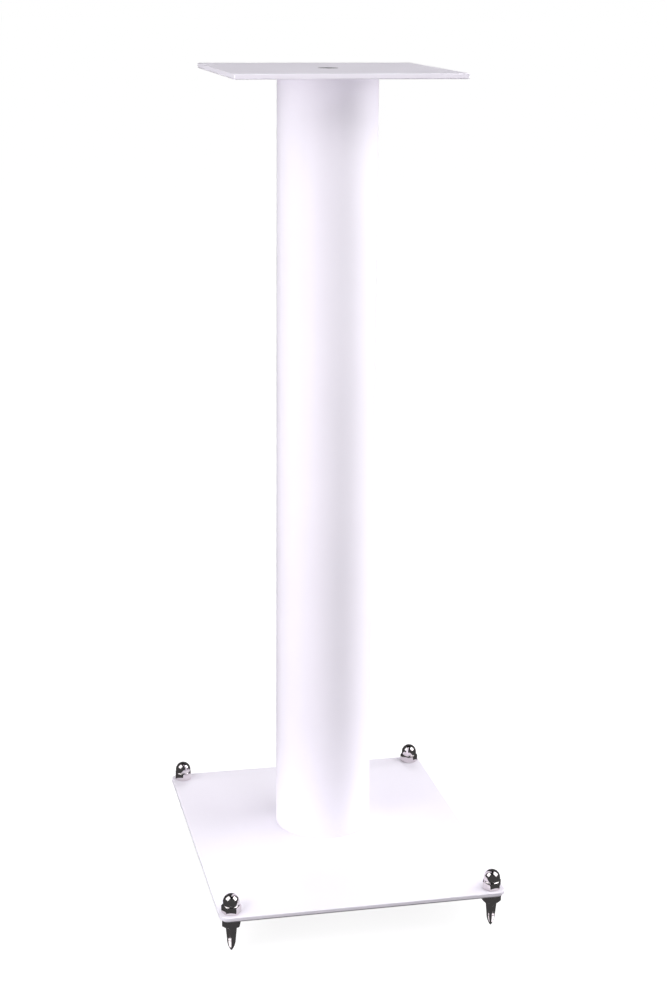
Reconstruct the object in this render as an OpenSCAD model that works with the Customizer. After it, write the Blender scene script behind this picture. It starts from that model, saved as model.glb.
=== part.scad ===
// Floor-standing column stand for a small loudspeaker, in millimetres with +Z up.
// The origin is on the floor under the middle of the base plate, and -Y is the front.
// A steel tube is screwed between two flat plates, and four screw-adjusted spikes carry the base.

/* [Column] */
// Length of the column tube
column_len = 600; // [300:10:900]
// Outer diameter of the column tube
column_d = 76.1; // [60:0.1:90]
// Wall thickness of the column tube
column_wall = 2; // [1.5:0.5:4]
// Distance of the column behind the middle of the base plate
column_setback = 22; // [0:1:40]

/* [Plates] */
// Width and depth of the square top plate
top_size = 170; // [110:5:220]
// Thickness of the top plate
top_t = 4; // [4:0.5:6]
// Corner radius of the top plate
top_corner_r = 1.5; // [0.5:0.5:10]
// Width of the base plate, left to right
base_w = 220; // [180:5:320]
// Depth of the base plate, front to back
base_d = 270; // [200:5:360]
// Thickness of the base plate
base_t = 4; // [3:0.5:5]
// Corner radius of the base plate
base_corner_r = 8; // [2:0.5:9]

/* [Spikes] */
// Distance of each spike from the two nearest edges of the base plate
spike_inset = 9.5; // [9.5:0.5:20]
// Height of the base plate's underside above the floor with the spikes screwed right in
spike_drop = 27; // [24:1:40]
// Length of the pointed end of a spike
spike_point_len = 9.5; // [6:0.5:12]
// Radius of a spike where the pointed end starts
spike_point_r = 3.3; // [2.5:0.1:3.8]

/* [Hidden] */
$fn = 96;
// Overshoot of a cut past the face that it opens
eps = 0.5;

// Metric M8 hardware
thread_r = 4;
tapped_r = 4.05;
clearance_r = 4.5;
hex_af = 13;
hex_corner_r = hex_af / 2 / cos(30);
hex_face_r = 0.95 * hex_af / 2;
hex_chamfer_h = (hex_corner_r - hex_face_r) * tan(30);
thread_lead = 0.6;

// Lock nut under the base plate, dome nut on top of it
lock_nut_h = 6.5;
dome_nut_h = 15;
dome_hex_h = 6.5;
dome_r = 6.25;
dome_waist_r = 5.9;
dome_waist_h = 0.6;
dome_bore_h = 11;
stud_above_base = 10;

// Spike
spike_shoulder_r = 4.35;
spike_tip_r = 0.3;
spike_arc_steps = 14;

// Countersunk screw in the top plate
top_screw_len = 20;
top_screw_head_r = 7.8;
top_screw_rim_h = 0.2;
top_screw_sink = 0.1;
countersink_gap = 0.1;
countersink_r = top_screw_head_r + top_screw_sink + top_screw_rim_h + countersink_gap;
top_socket_af = 5;
top_socket_h = 3;

// Cap screw, spring washer and flat washer under the base plate
base_screw_len = 20;
base_screw_head_r = 6.5;
base_screw_head_h = 8;
base_screw_edge = 0.8;
base_socket_af = 6;
base_socket_h = 4;
washer_bore_r = 4.2;
washer_r = 8;
washer_t = 1.6;
spring_washer_r = 7.4;
spring_washer_t = 2;
spring_washer_slit = 1.4;
spring_washer_slit_turn = 18;

// Cross bars welded inside the two ends of the column
bar_w = 40;
bar_t = 8;
bar_recess = 1;

// Levels from the floor up
base_bottom_z = spike_drop;
base_top_z = base_bottom_z + base_t;
column_top_z = base_top_z + column_len;
stand_top_z = column_top_z + top_t;
column_bore_r = column_d / 2 - column_wall;

// Each corner: name, side left or right, front or back, turn of its dome nut, turn of its lock nut
CORNERS = [
    ["front_left", -1, -1, -9, 14],
    ["front_right", 1, -1, 6, -22],
    ["back_left", -1, 1, 22, 3],
    ["back_right", 1, 1, -15, 27],
];

STAND_NODES = ["top_plate", "top_screw", "top_cross_bar", "column_tube", "bottom_cross_bar", "base_plate",
    "base_screw", "base_spring_washer", "base_washer"];
SPIKE_NODES = [for (corner = CORNERS) str("spike_", corner[0])];
LOCK_NUT_NODES = [for (corner = CORNERS) str("lock_nut_", corner[0])];
DOME_NUT_NODES = [for (corner = CORNERS) str("dome_nut_", corner[0])];

function corner_x(corner) = corner[1] * (base_w / 2 - spike_inset);
function corner_y(corner) = corner[2] * (base_d / 2 - spike_inset);

// Points of the spike's pointed end, a circular arc from the tip up to the tapered shank
function point_arc_r(rise, run) = (rise * rise + run * run) / (2 * rise);
function spike_point_arc() = let (
        rise = spike_point_r - spike_tip_r,
        arc_r = point_arc_r(rise, spike_point_len)
    ) [
        for (i = [0 : spike_arc_steps])
            let (z = spike_point_len * i / spike_arc_steps)
                [spike_tip_r + sqrt(arc_r * arc_r - pow(spike_point_len - z, 2)) - (arc_r - rise), z]
    ];

module rounded_rectangle(width, depth, corner_r) {
    square([width - 2 * corner_r, depth], center = true);
    square([width, depth - 2 * corner_r], center = true);
    for (x = [-1, 1], y = [-1, 1])
        translate([x * (width / 2 - corner_r), y * (depth / 2 - corner_r)]) circle(r = corner_r);
}

// A hexagon bar of height h with its corners chamfered at both ends
module hex_prism(h) {
    intersection() {
        cylinder(r = hex_corner_r, h = h, $fn = 6);
        rotate_extrude()
            polygon([
                [0, 0], [hex_face_r, 0], [hex_corner_r + eps, hex_chamfer_h + eps * tan(30)],
                [hex_corner_r + eps, h - hex_chamfer_h - eps * tan(30)], [hex_face_r, h], [0, h]
            ]);
    }
}

// A blind threaded hole as a plain bore with a countersunk mouth at z = 0
module blind_tapped_bore(depth) {
    translate([0, 0, -eps]) cylinder(r = tapped_r, h = depth + eps);
    translate([0, 0, -eps]) cylinder(r1 = tapped_r + thread_lead + eps, r2 = tapped_r, h = thread_lead + eps);
}

module hex_socket(af, depth) {
    translate([0, 0, -depth]) cylinder(r = af / 2 / cos(30), h = depth + eps, $fn = 6);
}

module place_at_corner(corner) {
    translate([corner_x(corner), corner_y(corner), 0]) children();
}

module place_on_column() {
    translate([0, column_setback, 0]) children();
}

module top_plate() {
    color("white") place_on_column() difference() {
        translate([0, 0, column_top_z]) linear_extrude(top_t)
            rounded_rectangle(top_size, top_size, top_corner_r);
        translate([0, 0, column_top_z - eps]) cylinder(r = clearance_r, h = top_t + 2 * eps);
        translate([0, 0, stand_top_z - countersink_r + thread_r])
            cylinder(r1 = thread_r, r2 = countersink_r + eps, h = countersink_r - thread_r + eps);
    }
}

module top_screw() {
    rim_z = -top_screw_sink;
    cone_top_z = rim_z - top_screw_rim_h;
    cone_bottom_z = cone_top_z - (top_screw_head_r - thread_r);
    color("dimgray") place_on_column() translate([0, 0, stand_top_z]) difference() {
        rotate_extrude() polygon([
            [0, rim_z], [top_screw_head_r, rim_z], [top_screw_head_r, cone_top_z],
            [thread_r, cone_bottom_z], [thread_r, thread_lead - top_screw_len],
            [thread_r - thread_lead, -top_screw_len], [0, -top_screw_len]
        ]);
        translate([0, 0, rim_z]) hex_socket(top_socket_af, top_socket_h);
    }
}

// A flat bar whose rounded ends meet the inside of the tube, with a threaded hole in its middle
module cross_bar() {
    difference() {
        intersection() {
            translate([-column_bore_r, -bar_w / 2, 0]) cube([2 * column_bore_r, bar_w, bar_t]);
            cylinder(r = column_bore_r, h = bar_t);
        }
        translate([0, 0, -eps]) cylinder(r = tapped_r, h = bar_t + 2 * eps);
    }
}

module top_cross_bar() {
    color("gray") place_on_column() translate([0, 0, column_top_z - bar_recess - bar_t]) cross_bar();
}

module bottom_cross_bar() {
    color("gray") place_on_column() translate([0, 0, base_top_z + bar_recess]) cross_bar();
}

module column_tube() {
    color("white") place_on_column() translate([0, 0, base_top_z]) difference() {
        cylinder(d = column_d, h = column_len);
        translate([0, 0, -eps]) cylinder(r = column_bore_r, h = column_len + 2 * eps);
    }
}

module base_plate() {
    color("white") difference() {
        translate([0, 0, base_bottom_z]) linear_extrude(base_t)
            rounded_rectangle(base_w, base_d, base_corner_r);
        translate([0, 0, base_bottom_z - eps]) {
            place_on_column() cylinder(r = clearance_r, h = base_t + 2 * eps);
            for (corner = CORNERS)
                place_at_corner(corner) cylinder(r = clearance_r, h = base_t + 2 * eps);
        }
    }
}

// The base screw's stack hangs under the base plate: flat washer, spring washer, then the head
module base_washer() {
    color("silver") place_on_column() translate([0, 0, base_bottom_z - washer_t]) difference() {
        cylinder(r = washer_r, h = washer_t);
        translate([0, 0, -eps]) cylinder(r = washer_bore_r, h = washer_t + 2 * eps);
    }
}

module base_spring_washer() {
    color("silver") place_on_column()
        translate([0, 0, base_bottom_z - washer_t - spring_washer_t]) difference() {
            cylinder(r = spring_washer_r, h = spring_washer_t);
            translate([0, 0, -eps]) cylinder(r = washer_bore_r, h = spring_washer_t + 2 * eps);
            rotate([spring_washer_slit_turn, 0, 0])
                translate([0, -spring_washer_slit / 2, -spring_washer_t])
                    cube([2 * spring_washer_r, spring_washer_slit, 4 * spring_washer_t]);
        }
}

module base_screw() {
    head_top_z = base_bottom_z - washer_t - spring_washer_t;
    color("dimgray") place_on_column() translate([0, 0, head_top_z]) difference() {
        rotate_extrude() polygon([
            [0, -base_screw_head_h], [base_screw_head_r - base_screw_edge, -base_screw_head_h],
            [base_screw_head_r, base_screw_edge - base_screw_head_h], [base_screw_head_r, 0], [thread_r, 0],
            [thread_r, base_screw_len - thread_lead], [thread_r - thread_lead, base_screw_len],
            [0, base_screw_len]
        ]);
        translate([0, 0, -base_screw_head_h]) mirror([0, 0, 1]) hex_socket(base_socket_af, base_socket_h);
    }
}

// One turned piece: a pointed end, a tapered shank up to a shoulder, and a threaded stud above it
module spike(corner) {
    shoulder_z = base_bottom_z - lock_nut_h;
    stud_top_z = base_top_z + stud_above_base;
    color("silver") place_at_corner(corner) rotate_extrude() polygon(concat(
        [[0, 0]],
        spike_point_arc(),
        [
            [spike_shoulder_r, shoulder_z], [thread_r, shoulder_z],
            [thread_r, stud_top_z - thread_lead], [thread_r - thread_lead, stud_top_z], [0, stud_top_z]
        ]
    ));
}

module lock_nut(corner) {
    color("silver") place_at_corner(corner) translate([0, 0, base_bottom_z - lock_nut_h])
        rotate([0, 0, corner[4]]) difference() {
            hex_prism(lock_nut_h);
            translate([0, 0, -eps]) cylinder(r = tapped_r, h = lock_nut_h + 2 * eps);
        }
}

module dome_nut(corner) {
    waist_z = dome_hex_h + dome_waist_h;
    ball_z = dome_nut_h - dome_r;
    color("silver") place_at_corner(corner) translate([0, 0, base_top_z])
        rotate([0, 0, corner[3]]) difference() {
            union() {
                hex_prism(dome_hex_h);
                translate([0, 0, dome_hex_h - eps]) cylinder(r = dome_waist_r, h = dome_waist_h + eps);
                translate([0, 0, waist_z]) cylinder(r = dome_r, h = ball_z - waist_z);
                translate([0, 0, ball_z]) intersection() {
                    sphere(r = dome_r);
                    cylinder(r = dome_r + eps, h = dome_r + eps);
                }
            }
            blind_tapped_bore(dome_bore_h);
        }
}

top_plate();
top_screw();
top_cross_bar();
column_tube();
bottom_cross_bar();
base_plate();
base_screw();
base_spring_washer();
base_washer();
for (corner = CORNERS) {
    spike(corner);
    lock_nut(corner);
    dome_nut(corner);
}
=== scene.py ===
import math

import bmesh
import bpy
import numpy as np
from mathutils import Matrix, Vector


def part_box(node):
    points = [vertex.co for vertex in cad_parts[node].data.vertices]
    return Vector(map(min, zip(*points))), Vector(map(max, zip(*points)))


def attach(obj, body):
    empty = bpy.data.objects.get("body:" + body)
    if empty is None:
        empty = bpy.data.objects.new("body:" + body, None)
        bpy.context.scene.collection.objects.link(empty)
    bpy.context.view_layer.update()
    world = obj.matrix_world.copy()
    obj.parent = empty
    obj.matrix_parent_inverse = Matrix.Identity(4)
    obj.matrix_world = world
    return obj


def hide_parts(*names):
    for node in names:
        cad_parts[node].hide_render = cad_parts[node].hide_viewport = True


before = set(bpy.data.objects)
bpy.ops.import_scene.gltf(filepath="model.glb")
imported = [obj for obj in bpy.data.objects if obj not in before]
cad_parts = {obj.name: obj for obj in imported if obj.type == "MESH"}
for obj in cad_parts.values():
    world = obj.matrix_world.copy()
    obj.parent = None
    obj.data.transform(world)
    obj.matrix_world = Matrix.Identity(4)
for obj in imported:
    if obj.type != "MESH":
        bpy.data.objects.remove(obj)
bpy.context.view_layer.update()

# A white column stand for a small loudspeaker. Lengths are in metres, +Z is up and -Y is the front.
MM = 0.001
TAU = 2 * math.pi
CORNER_NAMES = ("front_left", "front_right", "back_left", "back_right")
DOME_NUT_TURNS = {"front_left": -9, "front_right": 6, "back_left": 22, "back_right": -15}
LOCK_NUT_TURNS = {"front_left": 14, "front_right": -22, "back_left": 3, "back_right": 27}

# Metric M8 hardware
PITCH = 1.25 * MM
STUD_CREST, STUD_ROOT = 3.97 * MM, 3.30 * MM
NUT_CREST, NUT_ROOT = 4.09 * MM, 3.43 * MM
CLEARANCE_HOLE_R, TAPPED_HOLE_R, WASHER_HOLE_R = 4.5 * MM, 4.05 * MM, 4.2 * MM
HEX_AF = 13 * MM
HEX_FACE_R = 0.475 * HEX_AF

# Shared edges of the plates and nuts
PLATE_EDGE_R = 0.55 * MM
CHAMFER_BLEND_R = 0.3 * MM
HEX_EDGE_R = 0.3 * MM

# How finely round shapes are cut
COLUMN_STEPS = 256
ROUND_STEPS = 96
SPIKE_STEPS = 72
HEX_FLAT_STEPS, HEX_CORNER_STEPS = 12, 4
SHARP_DEGREES = 35
MERGE_DISTANCE = 0.002 * MM

# The studio. A view cuts off what lies beyond about 36 m, so the floor and backdrop are nearer than that.
SPIKE_TRAVEL = 6.25 * MM
FLOOR_R, BACKDROP_R, DARK_ROOM_R = 29, 30, 50
CEILING_FROM, CEILING_FULL = 36, 46


# ---------------------------------------------------------------- meshes

def angles(steps):
    """Evenly spaced angles for a full turn, with the first repeated at the end."""
    return np.linspace(0, TAU, steps + 1)


def ring(radius, z, theta):
    """A row of points round the Z axis. The radius and z are numbers, or one value for each angle."""
    radius, z = np.broadcast_to(radius, theta.shape), np.broadcast_to(z, theta.shape)
    return np.stack([radius * np.cos(theta), radius * np.sin(theta), z], axis=1)


def lathe_rows(profile, theta):
    return [ring(radius, z, theta) for radius, z in profile]


def arc(centre_r, centre_z, radius, start, end, steps):
    """Profile points (r, z) along an arc, with its angles in degrees from the +r direction."""
    turns = [math.radians(start + (end - start) * i / steps) for i in range(steps + 1)]
    return [(centre_r + radius * math.cos(a), centre_z + radius * math.sin(a)) for a in turns]


def thread_rows(low, high, crest, root, theta, fade, fade_to_crest=False):
    """Rows that follow a right-hand M8 helix from low up to high. Mating threads agree in phase.

    The thread fades to its root at both ends, or to its crest if asked to.
    """
    # Points of one turn's profile, as (share of the pitch, share of the thread's depth)
    profile = ((0.0, 1.0), (0.125, 1.0), (0.4375, 0.0), (0.6875, 0.0))
    first = math.floor(low / PITCH - theta.max() / TAU) - 1
    last = math.ceil(high / PITCH - theta.min() / TAU) + 1
    rows = []
    for turn in range(first, last + 1):
        for phase, height in profile:
            z = np.clip((turn + phase + theta / TAU) * PITCH, low, high)
            inside = np.clip(np.minimum(z - low, high - z) / fade, 0, 1)
            lift = 1 - (1 - height) * inside if fade_to_crest else height * inside
            rows.append(ring(root + (crest - root) * lift, z, theta))
    return rows


def object_from(name, bm, material):
    """Turns a bmesh into a smooth-shaded object whose steep edges stay sharp."""
    bmesh.ops.remove_doubles(bm, verts=bm.verts, dist=MERGE_DISTANCE)
    bmesh.ops.dissolve_degenerate(bm, dist=MERGE_DISTANCE / 10, edges=bm.edges)
    bmesh.ops.recalc_face_normals(bm, faces=bm.faces)
    mesh = bpy.data.meshes.new(name)
    bm.to_mesh(mesh)
    bm.free()
    mesh.shade_smooth()
    mesh.set_sharp_from_angle(angle=math.radians(SHARP_DEGREES))
    mesh.materials.append(material)
    piece = bpy.data.objects.new(name, mesh)
    bpy.context.scene.collection.objects.link(piece)
    return piece


def add_skin(bm, rows, loop=False):
    """Joins rows of equally many points with faces; loop joins the last row to the first as well."""
    grid = [[bm.verts.new(point) for point in row] for row in rows]
    pairs = list(zip(grid, grid[1:]))
    if loop:
        pairs.append((grid[-1], grid[0]))
    for lower, upper in pairs:
        for i in range(len(lower) - 1):
            bm.faces.new((lower[i], lower[i + 1], upper[i + 1], upper[i]))


def turned_piece(name, rows, material, loop=False):
    """A closed piece made of rows of points round the Z axis."""
    bm = bmesh.new()
    add_skin(bm, rows, loop)
    return object_from(name, bm, material)


def rounded_rectangle(width, depth, corner_r, steps):
    """Returns a function that gives the outline, inset by a distance, as (x, y) points."""
    def outline(inset):
        points = []
        radius = corner_r - inset
        for quarter, (side_x, side_y) in enumerate(((1, 1), (-1, 1), (-1, -1), (1, -1))):
            centre = (side_x * (width / 2 - corner_r), side_y * (depth / 2 - corner_r))
            for i in range(steps + 1):
                a = (quarter + i / steps) * TAU / 4
                points.append((centre[0] + radius * math.cos(a), centre[1] + radius * math.sin(a)))
        return np.array(points)
    return outline


def bar_with_round_ends(half_width, end_r, steps):
    """Returns a function that gives the outline of a flat bar whose two ends are arcs about its middle."""
    def outline(inset):
        half_angle = math.asin((half_width - inset) / (end_r - inset))
        points = []
        for end in (0, TAU / 2):
            for i in range(steps + 1):
                a = end + half_angle * (2 * i / steps - 1)
                points.append(((end_r - inset) * math.cos(a), (end_r - inset) * math.sin(a)))
        return np.array(points)
    return outline


def plate_levels(low, high, edge_r, low_chamfer):
    """The (inset, z) of each row down a plate's side. Its lower edge is chamfered if low_chamfer isn't 0."""
    quarter = [TAU / 16 * i for i in range(5)]
    top = [(edge_r * (1 - math.sin(a)), high - edge_r * (1 - math.cos(a))) for a in quarter]
    if not low_chamfer:
        return top + [(inset, low + high - z) for inset, z in reversed(top)]
    blend = CHAMFER_BLEND_R
    tangent = blend * math.tan(TAU / 16)
    beside = [(blend * (1 - math.cos(a)), low + low_chamfer + tangent - blend * math.sin(a))
              for a in quarter[:3]]
    under = [(low_chamfer + tangent - blend * math.cos(a), low + blend * (1 - math.sin(a)))
             for a in quarter[2:]]
    return top + beside + under


def plate_piece(name, outline, low, high, edge_r, holes, material, middle=(0.0, 0.0), low_chamfer=0.0):
    """A flat plate. Each hole is (x, y, rows), its rows running from the top face down."""
    bm = bmesh.new()
    levels = plate_levels(low, high, edge_r, low_chamfer)
    rows = []
    for inset, z in levels:
        points = outline(inset) + np.array(middle)
        closed = np.vstack([points, points[:1]])
        rows.append(np.column_stack([closed, np.full(len(closed), z)]))
    add_skin(bm, rows)
    for x, y, hole_rows in holes:
        add_skin(bm, [row + np.array([x, y, 0.0]) for row in hole_rows])
    bmesh.ops.remove_doubles(bm, verts=bm.verts, dist=MERGE_DISTANCE)
    for z in (low, high):
        rim = [edge for edge in bm.edges
               if edge.is_boundary and all(abs(v.co.z - z) < MERGE_DISTANCE for v in edge.verts)]
        bmesh.ops.triangle_fill(bm, edges=rim, use_beauty=True)
    piece = object_from(name, bm, material)
    normals = piece.modifiers.new("flat faces", "WEIGHTED_NORMAL")
    normals.keep_sharp = True
    return piece


def hexagon(turn_degrees):
    """Angles and radii of an M8 nut's hexagon with rounded corners, the first point repeated at the end."""
    theta, radius = [], []
    half_side = TAU / 12
    round_centre = (HEX_AF / 2 - HEX_EDGE_R) / math.cos(half_side)
    flat_end = half_side - math.atan2(round_centre * math.sin(half_side), HEX_AF / 2)
    for side in range(6):
        corner = side * TAU / 6
        for i in range(HEX_CORNER_STEPS + 1):
            spread = (2 * i / HEX_CORNER_STEPS - 1) * half_side
            x = round_centre + HEX_EDGE_R * math.cos(spread)
            y = HEX_EDGE_R * math.sin(spread)
            theta.append(corner + math.atan2(y, x))
            radius.append(math.hypot(x, y))
        for i in range(1, HEX_FLAT_STEPS):
            across = corner + flat_end + i / HEX_FLAT_STEPS * (TAU / 6 - 2 * flat_end)
            theta.append(across)
            radius.append(HEX_AF / 2 / math.cos(across - corner - half_side))
    theta.append(theta[0] + TAU)
    radius.append(radius[0])
    return np.array(theta) + math.radians(turn_degrees), np.array(radius)


def hexagon_radius(across_flats, theta):
    """The radius of a sharp hexagon at each angle, with a corner at angle 0."""
    return across_flats / 2 / np.cos(np.mod(theta, TAU / 6) - TAU / 12)


def chamfer_drop(radius):
    """How far a 30 degree chamfer has dropped where it meets a nut's side at that radius."""
    return np.maximum(radius - HEX_FACE_R, 0) * math.tan(math.radians(30))


# ---------------------------------------------------------------- materials

class Shader:
    """A material with a Principled shader and short ways to add and join nodes."""

    def __init__(self, name, **constants):
        self.material = bpy.data.materials.new(name)
        self.material.use_nodes = True
        self.nodes = self.material.node_tree.nodes
        self.links = self.material.node_tree.links
        self.principled = self.nodes["Principled BSDF"]
        for socket, value in constants.items():
            self.principled.inputs[socket.replace("_", " ")].default_value = value
        self.place = self.nodes.new("ShaderNodeTexCoord").outputs["Object"]

    def add(self, kind, inputs=(), **settings):
        node = self.nodes.new(kind)
        for key, value in settings.items():
            setattr(node, key, value)
        for socket, value in dict(inputs).items():
            if isinstance(value, bpy.types.NodeSocket):
                self.links.new(value, node.inputs[socket])
            else:
                node.inputs[socket].default_value = value
        return node

    def noise(self, scale, detail, stretch=None):
        """Noise from 0 to 1. Its scale is in cycles per metre, stretched along each axis."""
        place = self.place
        if stretch:
            place = self.add("ShaderNodeMapping", {"Vector": place, "Scale": stretch}).outputs["Vector"]
        inputs = {"Vector": place, "Scale": scale, "Detail": detail}
        return self.add("ShaderNodeTexNoise", inputs).outputs["Fac"]

    def spread(self, value, low, high, from_low=0.3, from_high=0.7):
        """Spreads a value over low to high. Most noise lies between 0.3 and 0.7."""
        return self.add("ShaderNodeMapRange", {
            "Value": value, "From Min": from_low, "From Max": from_high, "To Min": low, "To Max": high,
        }).outputs["Result"]

    def maths(self, operation, first, second):
        return self.add("ShaderNodeMath", {0: first, 1: second}, operation=operation).outputs[0]

    def sum(self, *terms):
        """The sum of (value, weight) pairs."""
        total = None
        for value, weight in terms:
            scaled = self.maths("MULTIPLY", value, weight)
            total = scaled if total is None else self.maths("ADD", total, scaled)
        return total

    def mix(self, factor, first, second):
        node = self.add("ShaderNodeMix", data_type="RGBA")
        for index, value in ((0, factor), (6, first), (7, second)):
            if isinstance(value, bpy.types.NodeSocket):
                self.links.new(value, node.inputs[index])
            else:
                node.inputs[index].default_value = value
        return node.outputs[2]

    def edge_mask(self, radius, low, high):
        """1 on outer edges and 0 on flats, from how far a rounded normal leans away from the true one."""
        rounded = self.add("ShaderNodeBevel", {"Radius": radius}, samples=2).outputs["Normal"]
        true = self.add("ShaderNodeNewGeometry").outputs["Normal"]
        likeness = self.add("ShaderNodeVectorMath", {0: rounded, 1: true}, operation="DOT_PRODUCT")
        return self.spread(likeness.outputs["Value"], 1.0, 0.0, low, high)

    def use(self, socket, value):
        self.links.new(value, self.principled.inputs[socket])

    def bump(self, height, distance, strength):
        inputs = {"Height": height, "Distance": distance, "Strength": strength}
        self.use("Normal", self.add("ShaderNodeBump", inputs).outputs["Normal"])


def white_powder_coat():
    """Satin white with a fine orange peel, fine specks and slightly glossier edges. The edges are also
    painted a lighter white, a painted edge highlight.
    """
    s = Shader("white_powder_coat", IOR=1.5, Specular_IOR_Level=0.3, Coat_Weight=0.05, Coat_Roughness=0.25)
    deep, pale = (0.86, 0.848, 0.905, 1), (0.885, 0.872, 0.93, 1)
    speck, painted_highlight_white = (0.70, 0.69, 0.73, 1), (0.905, 0.895, 0.945, 1)
    orange_peel = s.noise(650, 2.0)
    grain = s.noise(5200, 3.0)
    cloud = s.noise(11, 3.0)
    edge = s.edge_mask(0.7 * MM, 0.86, 0.99)
    base = s.mix(s.spread(cloud, 0, 1), deep, pale)
    specks = s.spread(s.noise(2600, 1.0), 0, 1, 0.80, 0.84)
    base = s.mix(specks, base, speck)
    # Painted highlight: the rounded edges are painted a lighter white.
    s.use("Base Color", s.mix(edge, base, painted_highlight_white))
    rough = s.sum((s.spread(cloud, 0.36, 0.44), 1.0), (s.spread(grain, -0.03, 0.03), 1.0), (edge, -0.08))
    s.use("Roughness", rough)
    s.bump(s.sum((orange_peel, 1.0), (grain, 0.25)), 0.05 * MM, 0.6)
    return s.material


def chrome_plate():
    """Polished chrome with a faint haze, turning marks round it and scratches along it. Its edges are
    painted a lighter silver, a painted edge highlight, and are a little rougher.
    """
    s = Shader("chrome_plate", Metallic=1.0)
    deep, pale, painted_highlight_silver = (0.70, 0.65, 0.67, 1), (0.76, 0.71, 0.725, 1), (0.82, 0.78, 0.79, 1)
    haze = s.noise(260, 4.0)
    turned = s.noise(1.0, 2.0, stretch=(300, 300, 9000))
    scratches = s.noise(1.0, 3.0, stretch=(6000, 6000, 500))
    edge = s.edge_mask(0.25 * MM, 0.8, 0.98)
    base = s.mix(s.spread(haze, 0, 1), deep, pale)
    # Painted highlight: the rounded edges are painted a lighter silver.
    s.use("Base Color", s.mix(edge, base, painted_highlight_silver))
    rough = s.sum((s.spread(haze, 0.05, 0.11), 1.0), (s.spread(scratches, 0.0, 0.04), 1.0), (edge, 0.05))
    s.use("Roughness", rough)
    s.bump(s.sum((turned, 1.0), (scratches, 0.4)), 0.004 * MM, 0.5)
    return s.material


def black_steel():
    """Black oxide, blotchy and worn to grey on its edges."""
    s = Shader("black_steel", Metallic=0.2, Specular_IOR_Level=0.3)
    deep, pale, worn = (0.022, 0.021, 0.024, 1), (0.05, 0.046, 0.044, 1), (0.20, 0.19, 0.18, 1)
    blotch = s.noise(420, 4.0)
    grain = s.noise(5000, 2.0)
    edge = s.edge_mask(0.3 * MM, 0.78, 0.97)
    base = s.mix(s.spread(blotch, 0, 1), deep, pale)
    s.use("Base Color", s.mix(s.sum((edge, 0.7)), base, worn))
    s.use("Roughness", s.sum((s.spread(blotch, 0.42, 0.58), 1.0), (edge, -0.08)))
    s.bump(grain, 0.01 * MM, 0.6)
    return s.material


def zinc_plate():
    """Zinc with a bluish to yellowish cloud and fine brushing."""
    s = Shader("zinc_plate", Metallic=1.0)
    bluish, yellowish = (0.56, 0.58, 0.63, 1), (0.68, 0.67, 0.62, 1)
    cloud = s.noise(300, 3.0)
    brushed = s.noise(1.0, 2.0, stretch=(400, 7000, 400))
    s.use("Base Color", s.mix(s.spread(cloud, 0, 1), bluish, yellowish))
    s.use("Roughness", s.sum((s.spread(cloud, 0.28, 0.42), 1.0), (s.spread(brushed, -0.04, 0.06), 1.0)))
    s.bump(s.sum((brushed, 1.0), (cloud, 0.5)), 0.008 * MM, 0.6)
    return s.material


def bare_steel():
    """Cut flat bar with patches of mill scale and drawing marks along it."""
    s = Shader("bare_steel", Metallic=0.9)
    deep, pale, edge_grey = (0.17, 0.165, 0.17, 1), (0.36, 0.34, 0.32, 1), (0.5, 0.48, 0.46, 1)
    scale = s.noise(120, 5.0)
    drawn = s.noise(1.0, 3.0, stretch=(150, 5000, 5000))
    edge = s.edge_mask(0.5 * MM, 0.8, 0.98)
    base = s.mix(s.spread(scale, 0, 1, 0.4, 0.6), deep, pale)
    s.use("Base Color", s.mix(edge, base, edge_grey))
    s.use("Roughness", s.sum((s.spread(scale, 0.42, 0.62), 1.0), (s.spread(drawn, -0.06, 0.06), 1.0)))
    s.bump(s.sum((drawn, 1.0), (scale, 1.0)), 0.02 * MM, 0.7)
    return s.material


PAINT, CHROME, BLACK, ZINC, STEEL = (
    white_powder_coat(), chrome_plate(), black_steel(), zinc_plate(), bare_steel())


# ---------------------------------------------------------------- pieces

def fit_to_frame(piece, node, body, at=(0.0, 0.0, 0.0)):
    """Puts a piece in its place on a CAD body, in the place of its CAD node."""
    piece.location = at
    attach(piece, body)
    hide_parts(node)


def axis_of(node):
    """The (x, y) of a round node's axis."""
    low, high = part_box(node)
    return (low.x + high.x) / 2, (low.y + high.y) / 2


def plain_hole(radius, low, high, chamfer):
    """Rows of a straight hole from the top face down, lightly chamfered at both ends."""
    profile = [(radius + chamfer, high), (radius, high - chamfer),
               (radius, low + chamfer), (radius + chamfer, low)]
    return lathe_rows(profile, angles(ROUND_STEPS))


def make_top_plate():
    low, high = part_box("top_plate")
    middle = axis_of("top_screw")
    sink_r, through_r = 8.2 * MM, CLEARANCE_HOLE_R
    countersink = lathe_rows([
        (sink_r + 0.1 * MM, high.z), (sink_r - 0.1 * MM, high.z - 0.12 * MM),
        (through_r, high.z - (sink_r - through_r)), (through_r + 0.1 * MM, low.z),
    ], angles(ROUND_STEPS))
    outline = rounded_rectangle(high.x - low.x, high.y - low.y, 1.5 * MM, 8)
    piece = plate_piece("top_plate_coated", outline, low.z, high.z, PLATE_EDGE_R,
                        [(*middle, countersink)], PAINT, middle, low_chamfer=0.7 * MM)
    fit_to_frame(piece, "top_plate", "stand")


def make_base_plate():
    low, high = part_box("base_plate")
    centres = [axis_of(f"spike_{corner}") for corner in CORNER_NAMES] + [axis_of("base_screw")]
    hole = plain_hole(CLEARANCE_HOLE_R, low.z, high.z, 0.2 * MM)
    outline = rounded_rectangle(high.x - low.x, high.y - low.y, 8 * MM, 14)
    piece = plate_piece("base_plate_coated", outline, low.z, high.z, PLATE_EDGE_R,
                        [(x, y, hole) for x, y in centres], PAINT, low_chamfer=1.3 * MM)
    fit_to_frame(piece, "base_plate", "stand")


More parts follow.
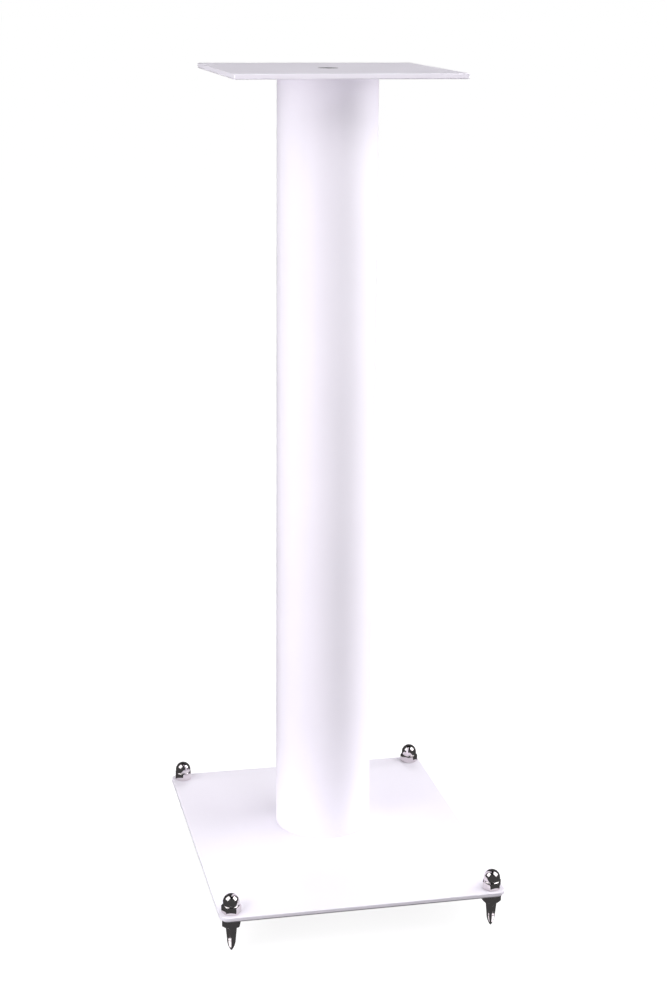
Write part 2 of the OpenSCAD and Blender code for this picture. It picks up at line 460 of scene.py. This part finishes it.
def make_column():
    low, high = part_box("column_tube")
    outer, wall, edge = (high.x - low.x) / 2, 2 * MM, 0.4 * MM
    inner = outer - wall
    profile = [
        *arc(outer - edge, high.z - edge, edge, 0, 90, 4),
        *arc(inner + edge, high.z - edge, edge, 90, 180, 4),
        *arc(inner + edge, low.z + edge, edge, 180, 270, 4),
        *arc(outer - edge, low.z + edge, edge, 270, 360, 4),
    ]
    piece = turned_piece("column_tube_coated", lathe_rows(profile, angles(COLUMN_STEPS)), PAINT, loop=True)
    normals = piece.modifiers.new("long faces", "WEIGHTED_NORMAL")
    normals.keep_sharp = True
    fit_to_frame(piece, "column_tube", "stand", (*axis_of("column_tube"), 0))


def make_cross_bar(node):
    low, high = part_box(node)
    outline = bar_with_round_ends((high.y - low.y) / 2, (high.x - low.x) / 2, 20)
    hole = plain_hole(TAPPED_HOLE_R, low.z, high.z, 0.5 * MM)
    piece = plate_piece(f"{node}_cut", outline, low.z, high.z, 0.4 * MM, [(0, 0, hole)], STEEL)
    fit_to_frame(piece, node, "stand", (*axis_of(node), 0))


def make_top_screw():
    low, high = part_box("top_screw")
    theta = angles(ROUND_STEPS)
    head_r, rim, across = 7.8 * MM, 0.2 * MM, 5 * MM
    socket_floor = high.z - 3 * MM
    socket = hexagon_radius(across, theta)
    neck_z = high.z - rim - (head_r - STUD_CREST)
    rows = [ring(0, socket_floor - 0.9 * MM, theta), ring(across * 0.42, socket_floor, theta),
            ring(socket, socket_floor, theta), ring(socket, high.z - 0.25 * MM, theta),
            ring(np.maximum(socket, across * 0.56), high.z, theta)]
    rows += lathe_rows([(head_r - 0.15 * MM, high.z), (head_r, high.z - 0.07 * MM), (head_r, high.z - rim),
                        (STUD_CREST, neck_z)], theta)
    thread = thread_rows(low.z + 0.1 * MM, neck_z - 0.6 * MM, STUD_CREST, STUD_ROOT, theta, 0.8 * MM)
    rows += reversed(thread)
    rows += [ring(STUD_ROOT - 0.2 * MM, low.z, theta), ring(0, low.z, theta)]
    piece = turned_piece("top_screw_black", rows, BLACK)
    fit_to_frame(piece, "top_screw", "stand", (*axis_of("top_screw"), 0))


def make_base_screw():
    low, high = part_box("base_screw")
    ribs, across = 48, 6 * MM
    theta = angles(3 * ribs)
    knurl = np.where(np.arange(len(theta)) % 3 == 0, -0.22 * MM, 0.0)
    head_r, head_top = (high.x - low.x) / 2, low.z + 8 * MM
    socket, socket_floor = hexagon_radius(across, theta), low.z + 4 * MM
    rows = [ring(0, socket_floor + 1.1 * MM, theta), ring(across * 0.42, socket_floor, theta),
            ring(socket, socket_floor, theta), ring(socket, low.z + 0.3 * MM, theta),
            ring(np.maximum(socket, across * 0.56), low.z, theta)]
    rows += lathe_rows([(head_r - 0.9 * MM, low.z), (head_r - 0.5 * MM, low.z + 0.12 * MM),
                        (head_r - 0.25 * MM, low.z + 0.5 * MM)], theta)
    rows += [ring(head_r + knurl, low.z + 0.9 * MM, theta), ring(head_r + knurl, head_top - 0.6 * MM, theta)]
    rows += lathe_rows([(head_r - 0.25 * MM, head_top - 0.3 * MM), (head_r - 0.4 * MM, head_top),
                        (STUD_CREST + 0.3 * MM, head_top), (STUD_CREST, head_top + 0.3 * MM)], theta)
    rows += thread_rows(head_top + 0.9 * MM, high.z - 0.1 * MM, STUD_CREST, STUD_ROOT, theta, 0.8 * MM)
    rows += [ring(STUD_ROOT - 0.2 * MM, high.z, theta), ring(0, high.z, theta)]
    piece = turned_piece("base_screw_black", rows, BLACK)
    fit_to_frame(piece, "base_screw", "stand", (*axis_of("base_screw"), 0))


def make_base_washer():
    low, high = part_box("base_washer")
    outer, inner, edge = (high.x - low.x) / 2, WASHER_HOLE_R, 0.25 * MM
    profile = [
        *arc(outer - edge, high.z - edge, edge, 0, 90, 3),
        (inner + edge / 2, high.z), (inner, high.z - edge),
        (inner, low.z + edge), (inner + edge / 2, low.z),
        *arc(outer - edge, low.z + edge, edge, 270, 360, 3),
    ]
    piece = turned_piece("base_washer_plated", lathe_rows(profile, angles(ROUND_STEPS)), ZINC, loop=True)
    fit_to_frame(piece, "base_washer", "stand", (*axis_of("base_washer"), 0))


def make_spring_washer():
    """A rectangular wire bent round once, its two slanted ends facing each other across a slit."""
    low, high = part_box("base_spring_washer")
    inner, outer = WASHER_HOLE_R, 7.4 * MM
    edge, slit, slant, steps = 0.2 * MM, 1.4 * MM, math.tan(math.radians(18)), 90
    corners = [(inner, low.z + edge), (inner + edge, low.z), (outer - edge, low.z),
               (outer, low.z + edge), (outer, high.z - edge), (outer - edge, high.z),
               (inner + edge, high.z), (inner, high.z - edge)]
    section = [*corners, corners[0]]
    middle_z = (low.z + high.z) / 2
    rows = []
    for i in range(steps + 1):
        row = []
        for radius, z in section:
            half_slit = slit / 2 / radius
            shear = -(z - middle_z) * slant / radius
            a = half_slit + (TAU - 2 * half_slit) * i / steps + shear
            row.append((radius * math.cos(a), radius * math.sin(a), z))
        rows.append(np.array(row))
    ends = [np.broadcast_to(row[:-1].mean(axis=0), row.shape) for row in (rows[0], rows[-1])]
    piece = turned_piece("base_spring_washer_plated", [ends[0], *rows, ends[1]], ZINC)
    fit_to_frame(piece, "base_spring_washer", "stand", (*axis_of("base_spring_washer"), 0))


def make_spike(corner):
    node = f"spike_{corner}"
    low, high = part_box(node)
    theta = angles(SPIKE_STEPS)
    tip_r, point_r, point_len, shoulder_r = 0.3 * MM, 3.3 * MM, 9.5 * MM, 4.35 * MM
    shoulder_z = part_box(f"lock_nut_{corner}")[0].z
    rise = point_r - tip_r
    arc_r = (rise ** 2 + point_len ** 2) / (2 * rise)
    profile = [(0, low.z), (tip_r * 0.7, low.z + 0.04 * MM)]
    point_steps = 22
    for i in range(1, point_steps + 1):
        z = point_len * i / point_steps
        profile.append((tip_r + math.sqrt(arc_r ** 2 - (point_len - z) ** 2) - (arc_r - rise), low.z + z))
    for share in (0.02, 0.5, 0.97):
        profile.append((point_r + share * (shoulder_r - point_r),
                        point_len + share * (shoulder_z - point_len)))
    profile += [(shoulder_r, shoulder_z - 0.25 * MM), (shoulder_r - 0.12 * MM, shoulder_z - 0.02 * MM),
                (STUD_CREST, shoulder_z - 0.02 * MM), (STUD_ROOT, shoulder_z + 0.5 * MM),
                (STUD_ROOT, shoulder_z + 1.2 * MM)]
    rows = lathe_rows(profile, theta)
    rows += thread_rows(shoulder_z + 1.3 * MM, high.z - 0.15 * MM, STUD_CREST, STUD_ROOT, theta, 0.9 * MM)
    rows += [ring(STUD_ROOT - 0.25 * MM, high.z, theta), ring(0, high.z, theta)]
    piece = turned_piece(f"{node}_turned", rows, CHROME)
    fit_to_frame(piece, node, node, (*axis_of(node), 0))


def nut_side_rows(low, high, radius, theta):
    """Rows up a hexagon nut's outside, from its lower face to its upper one, with both ends chamfered."""
    drop = chamfer_drop(radius)
    soft = 0.1 * MM
    chamfer = [(np.full_like(radius, HEX_FACE_R - soft), 0 * drop),
               (radius - np.minimum(drop, soft), 0.75 * drop), (radius, drop + soft)]
    rows = [ring(r, low + rise, theta) for r, rise in chamfer]
    rows += [ring(r, high - rise, theta) for r, rise in reversed(chamfer)]
    return rows


def make_lock_nut(corner):
    node = f"lock_nut_{corner}"
    low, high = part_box(node)
    theta, radius = hexagon(LOCK_NUT_TURNS[corner])
    rows = nut_side_rows(low.z, high.z, radius, theta)
    rows += [ring(NUT_CREST + 0.3 * MM, high.z, theta), ring(NUT_CREST, high.z - 0.3 * MM, theta)]
    thread = thread_rows(low.z + 0.32 * MM, high.z - 0.32 * MM, NUT_CREST, NUT_ROOT, theta, 0.5 * MM, True)
    rows += reversed(thread)
    rows += [ring(NUT_CREST, low.z + 0.3 * MM, theta), ring(NUT_CREST + 0.3 * MM, low.z, theta)]
    piece = turned_piece(f"{node}_plated", rows, CHROME, loop=True)
    fit_to_frame(piece, node, node, (*axis_of(f"spike_{corner}"), 0))


def make_dome_nut(corner):
    node = f"dome_nut_{corner}"
    low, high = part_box(node)
    theta, radius = hexagon(DOME_NUT_TURNS[corner])
    hex_top = low.z + 6.5 * MM
    dome_r, waist_r, bore_top = 6.25 * MM, 5.9 * MM, low.z + 11 * MM
    ball_z = high.z - dome_r
    rows = [ring(0, bore_top + 0.7 * MM, theta), ring(NUT_ROOT, bore_top - 0.9 * MM, theta)]
    thread = thread_rows(low.z + 0.5 * MM, bore_top - 1.0 * MM, NUT_CREST, NUT_ROOT, theta, 0.5 * MM, True)
    rows += reversed(thread)
    rows += [ring(NUT_CREST + 0.1 * MM, low.z + 0.4 * MM, theta), ring(NUT_CREST + 0.5 * MM, low.z, theta)]
    rows += nut_side_rows(low.z, hex_top, radius, theta)
    rows += lathe_rows([(waist_r + 0.15 * MM, hex_top + 0.03 * MM), (waist_r, hex_top + 0.2 * MM),
                        (waist_r + 0.02 * MM, hex_top + 0.5 * MM), (dome_r - 0.08 * MM, hex_top + 0.75 * MM),
                        (dome_r, hex_top + 1.05 * MM)], theta)
    rows += lathe_rows(arc(0, ball_z, dome_r, 0, 88, 22) + [(0, high.z)], theta)
    piece = turned_piece(f"{node}_plated", rows, CHROME)
    fit_to_frame(piece, node, node, (*axis_of(f"spike_{corner}"), 0))


make_top_plate()
make_base_plate()
make_column()
make_cross_bar("top_cross_bar")
make_cross_bar("bottom_cross_bar")
make_top_screw()
make_base_screw()
make_base_washer()
make_spring_washer()
for corner_name in CORNER_NAMES:
    make_spike(corner_name)
    make_lock_nut(corner_name)
    make_dome_nut(corner_name)


# ---------------------------------------------------------------- camera, floor and light

def make_camera():
    """The photograph's viewpoint and framing."""
    data = bpy.data.cameras.new("camera")
    data.lens, data.sensor_width = 69.37, 36
    data.clip_end = 200
    camera = bpy.data.objects.new("camera", data)
    bpy.context.scene.collection.objects.link(camera)
    place = (-0.3112, -1.4067, 0.7024)
    tilt_down, turn_right, roll = (math.radians(degrees) for degrees in (15.28, 12.56, 0.52))
    aim = (Matrix.Rotation(-turn_right, 4, "Z") @ Matrix.Rotation(TAU / 4 - tilt_down, 4, "X")
           @ Matrix.Rotation(roll, 4, "Z"))
    camera.matrix_world = Matrix.Translation(place) @ aim
    bpy.context.scene.camera = camera


def stage_piece(name, bm, material, **seen_by):
    """A piece of the studio, which shows only to the kinds of ray named."""
    mesh = bpy.data.meshes.new(name)
    bm.to_mesh(mesh)
    bm.free()
    mesh.materials.append(material)
    piece = bpy.data.objects.new(name, mesh)
    bpy.context.scene.collection.objects.link(piece)
    for ray in ("camera", "diffuse", "glossy", "transmission", "volume_scatter", "shadow"):
        setattr(piece, f"visible_{ray}", seen_by.get(ray, False))


def glow(name, colour, strength):
    """A material that shines evenly and reflects nothing."""
    material = bpy.data.materials.new(name)
    material.use_nodes = True
    principled = material.node_tree.nodes["Principled BSDF"]
    principled.inputs["Base Color"].default_value = (0, 0, 0, 1)
    principled.inputs["Specular IOR Level"].default_value = 0
    principled.inputs["Emission Color"].default_value = (*colour, 1)
    principled.inputs["Emission Strength"].default_value = strength
    return material


def map_range(tree, value, from_min, from_max, to_min=0.0, to_max=1.0):
    """A node's output that spreads a value from one range over another."""
    node = tree.nodes.new("ShaderNodeMapRange")
    settings = {"From Min": from_min, "From Max": from_max, "To Min": to_min, "To Max": to_max}
    for socket, number in settings.items():
        node.inputs[socket].default_value = number
    tree.links.new(value, node.inputs["Value"])
    return node.outputs["Result"]


def sphere(radius):
    bm = bmesh.new()
    bmesh.ops.create_icosphere(bm, subdivisions=4, radius=radius)
    return bm


def make_floor():
    """A glowing white floor with a painted round shade near the stand, where it glows less, and a faint real
    shadow. It shows only to the camera.

    It lies low enough for the spikes to show whole when they are screwed right out.
    """
    gap = 0.1 * MM
    bm = bmesh.new()
    bmesh.ops.create_circle(bm, cap_ends=True, radius=FLOOR_R, segments=96,
                            matrix=Matrix.Translation((0, 0, -SPIKE_TRAVEL - gap)))
    material = glow("floor", (1, 1, 1), 1.0)
    tree = material.node_tree
    principled = tree.nodes["Principled BSDF"]
    principled.inputs["Base Color"].default_value = (0.30, 0.30, 0.30, 1)
    distance = tree.nodes.new("ShaderNodeVectorMath")
    distance.operation = "LENGTH"
    tree.links.new(tree.nodes.new("ShaderNodeTexCoord").outputs["Object"], distance.inputs[0])
    # Painted shade: the floor glows 0.86 near the middle and 1.0 from 2.5 m out, so it looks shaded round
    # the stand.
    fade = map_range(tree, distance.outputs["Value"], 0.4, 2.5, 0.86, 1.0)
    tree.links.new(fade, principled.inputs["Emission Strength"])
    stage_piece("floor", bm, material, camera=True)


def make_floor_glints():
    """Glowing patches on the floor beside the front spikes, seen only in the chrome: painted reflections
    that make bright streaks on the spike points.
    """
    near, far, lift, steps = 3.2 * MM, 17.5 * MM, 0.1 * MM, 12
    for name, corner, start, end, strength in (
        ("front_left", "front_left", 182, 256, 1.7),
        ("front_right", "front_right", -76, 8, 1.7),
        ("front_right_thin", "front_right", 188, 214, 1.2),
    ):
        x, y = axis_of(f"spike_{corner}")
        bm = bmesh.new()
        inner, outer = (
            [bm.verts.new((x + reach * math.cos(a), y + reach * math.sin(a), lift))
             for a in np.radians(np.linspace(start, end, steps + 1))]
            for reach in (near, far)
        )
        for i in range(steps):
            bm.faces.new((inner[i], outer[i], outer[i + 1], inner[i + 1]))
        # Painted reflection: each patch glows and only glossy rays see it, so it shows as a bright streak on
        # a spike.
        material = glow(f"painted_glint_{name}", (1, 0.97, 1), strength)
        stage_piece(f"painted_glint_{name}", bm, material, glossy=True)


def make_backdrop():
    """A white backdrop all round, which shows only to the camera."""
    stage_piece("backdrop", sphere(BACKDROP_R), glow("backdrop", (1, 1, 1), 1.0), camera=True)


def make_dark_room():
    """A sphere that glows dark grey, darker at its top, and shows only in reflections: a painted reflection
    of a dark room under a nearly black ceiling round the softboxes.
    """
    material = glow("painted_reflection_room", (1, 1, 1), 1.0)
    tree = material.node_tree
    heights = tree.nodes.new("ShaderNodeSeparateXYZ")
    tree.links.new(tree.nodes.new("ShaderNodeTexCoord").outputs["Object"], heights.inputs[0])
    # Painted reflection: the glow is 0.070 below 36 m height, falling to 0.006 at 46 m for a near-black
    # ceiling.
    shade = map_range(tree, heights.outputs["Z"], CEILING_FROM, CEILING_FULL, 0.070, 0.006)
    tree.links.new(shade, tree.nodes["Principled BSDF"].inputs["Emission Strength"])
    stage_piece("painted_reflection_room", sphere(DARK_ROOM_R), material, glossy=True)


def add_light(name, location, target, size, power, colour=(1, 1, 1), in_reflections=True):
    """A square softbox at location, facing target, in metres and watts."""
    data = bpy.data.lights.new(name, "AREA")
    data.size, data.energy, data.color = size, power, colour
    light = bpy.data.objects.new(name, data)
    bpy.context.scene.collection.objects.link(light)
    light.location = location
    light.rotation_euler = (Vector(location) - Vector(target)).to_track_quat("Z", "Y").to_euler()
    light.visible_camera = False
    light.visible_glossy = in_reflections


def make_lights():
    """Two softboxes that show in the chrome, one at each side, and fills that don't."""
    softbox_target, fill_target = (0, 0, 0.25), (0, 0, 0.3)
    add_light("left_softbox", (-0.86, -0.14, 0.95), softbox_target, 1.1, 6.0)
    add_light("right_softbox", (0.92, -0.34, 0.95), softbox_target, 1.1, 10.0)
    tint = (1.0, 0.95, 1.0)
    for name, location, size, power in (
        ("near_left_fill", (-0.50, -0.50, 0.35), 0.3, 2.5),
        ("low_left_fill", (-1.30, 0.00, 0.12), 0.5, 6.5),
        ("low_right_fill", (1.30, 0.30, 0.12), 0.5, 18.0),
        ("front_fill", (0.36, -1.76, 0.75), 0.8, 5.0),
        ("high_front_fill", (0.30, -1.15, 1.55), 0.6, 5.3),
        ("back_fill", (0.30, 1.40, 1.00), 0.8, 12.0),
        ("overhead_fill", (-0.04, -0.20, 2.00), 0.9, 4.4),
    ):
        add_light(name, location, fill_target, size, power, tint, in_reflections=False)
    make_sky((0.004, 0.004, 0.004), (0.02, 0.018, 0.02))


def make_sky(above, below):
    """Even light from all round, one colour above the horizon and another below. Chrome doesn't show it."""
    half_blend = 0.05
    world = bpy.data.worlds.new("studio")
    bpy.context.scene.world = world
    world.use_nodes = True
    world.cycles_visibility.glossy = False
    tree = world.node_tree
    heights = tree.nodes.new("ShaderNodeSeparateXYZ")
    tree.links.new(tree.nodes.new("ShaderNodeTexCoord").outputs["Generated"], heights.inputs[0])
    blend = tree.nodes.new("ShaderNodeMix")
    blend.name, blend.data_type = "horizon_blend", "RGBA"
    blend.inputs[6].default_value, blend.inputs[7].default_value = (*below, 1), (*above, 1)
    tree.links.new(map_range(tree, heights.outputs["Z"], -half_blend, half_blend), blend.inputs[0])
    tree.links.new(blend.outputs[2], tree.nodes["Background"].inputs["Color"])


make_camera()
make_floor()
make_floor_glints()
make_backdrop()
make_dark_room()
make_lights()
bpy.context.scene.view_settings.view_transform = "Standard"
